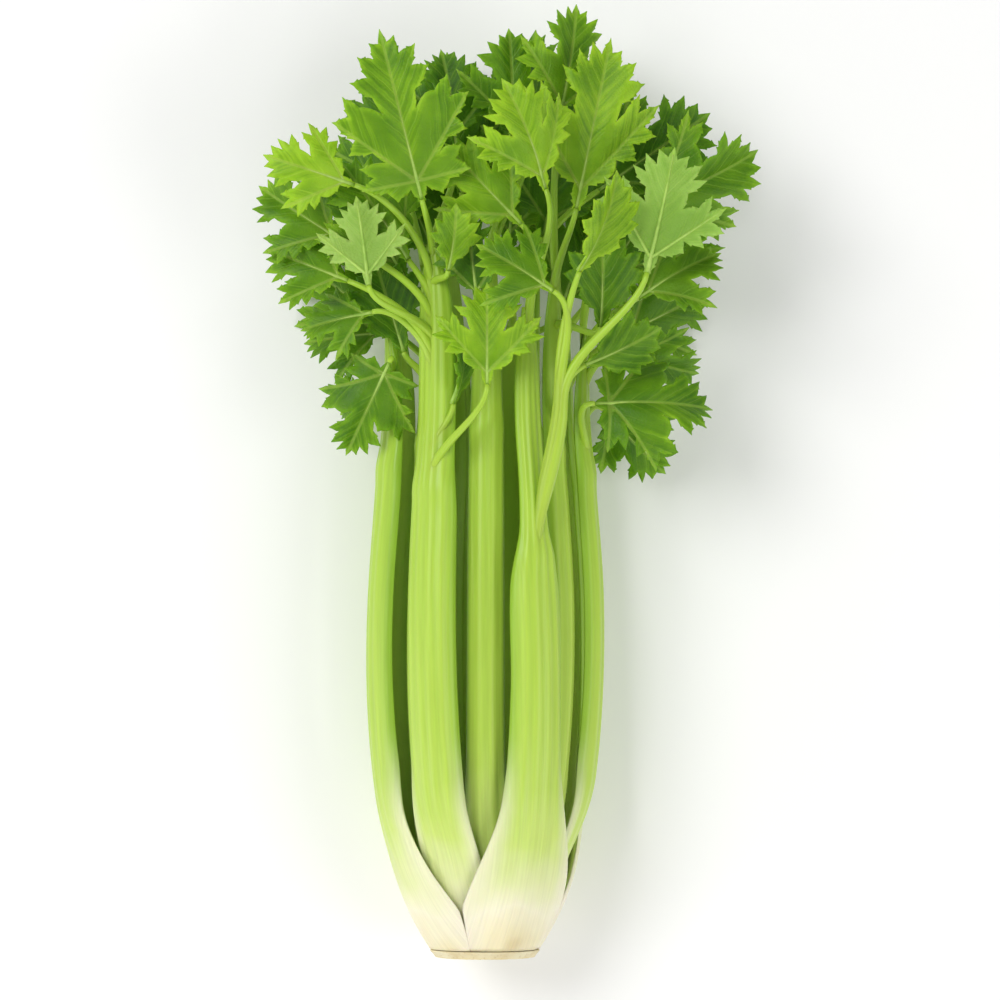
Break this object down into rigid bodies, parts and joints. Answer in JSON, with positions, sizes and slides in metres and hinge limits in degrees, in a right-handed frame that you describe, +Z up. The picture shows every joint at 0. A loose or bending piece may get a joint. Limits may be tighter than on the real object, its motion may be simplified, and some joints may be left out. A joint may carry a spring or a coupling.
{
  "type": "head of celery",
  "caption": "Head of celery lying on its back: ribbed pale green stalks wrapping round a short cut butt, fanned out into toothed leaves on slim stems.",
  "frame": {"origin": "middle of the whole head's footprint, on the surface it lies on", "axes": "+Y along the head from the cut face of the butt to the leaf tips, +X to the right as seen from above with the leaves up the page, +Z up from the surface, towards the side the picture shows"},
  "size_m": [0.2108, 0.397, 0.1338],
  "materials": {
    "butt": "matte",
    "stalk": "satin",
    "leaf": "satin"
  },
  "bodies": {
    "root": {"butt": "butt", "stalk_front_left": "stalk", "stalk_front_right": "stalk", "stalk_left": "stalk", "stalk_right": "stalk", "stalk_back_right": "stalk", "stalk_under_right": "stalk", "stalk_under_left": "stalk", "stalk_back_left": "stalk", "stalk_inner_front": "stalk", "stalk_inner_right": "stalk", "stalk_inner_left": "stalk", "stalk_inner_back_right": "stalk", "stalk_inner_back_left": "stalk", "stalk_heart": "stalk", "leaf_01": "leaf", "leaf_02": "leaf", "leaf_03": "leaf", "leaf_04": "leaf", "leaf_05": "leaf", "leaf_06": "leaf", "leaf_07": "leaf", "leaf_08": "leaf", "leaf_09": "leaf", "leaf_10": "leaf", "leaf_11": "leaf", "leaf_12": "leaf", "leaf_13": "leaf", "leaf_14": "leaf", "leaf_15": "leaf", "leaf_16": "leaf", "leaf_17": "leaf", "leaf_18": "leaf", "leaf_19": "leaf", "leaf_20": "leaf", "leaf_21": "leaf", "leaf_22": "leaf", "leaf_23": "leaf", "leaf_24": "leaf", "leaf_25": "leaf", "leaf_26": "leaf", "leaf_27": "leaf", "leaf_28": "leaf", "leaf_29": "leaf", "leaf_30": "leaf", "leaf_31": "leaf", "leaf_32": "leaf", "leaf_33": "leaf", "leaf_34": "leaf", "leaf_35": "leaf", "leaf_36": "leaf", "leaf_37": "leaf", "leaf_38": "leaf", "leaf_39": "leaf", "leaf_40": "leaf", "leaf_41": "leaf", "leaf_42": "leaf", "leaf_43": "leaf"}
  },
  "joints": []
}
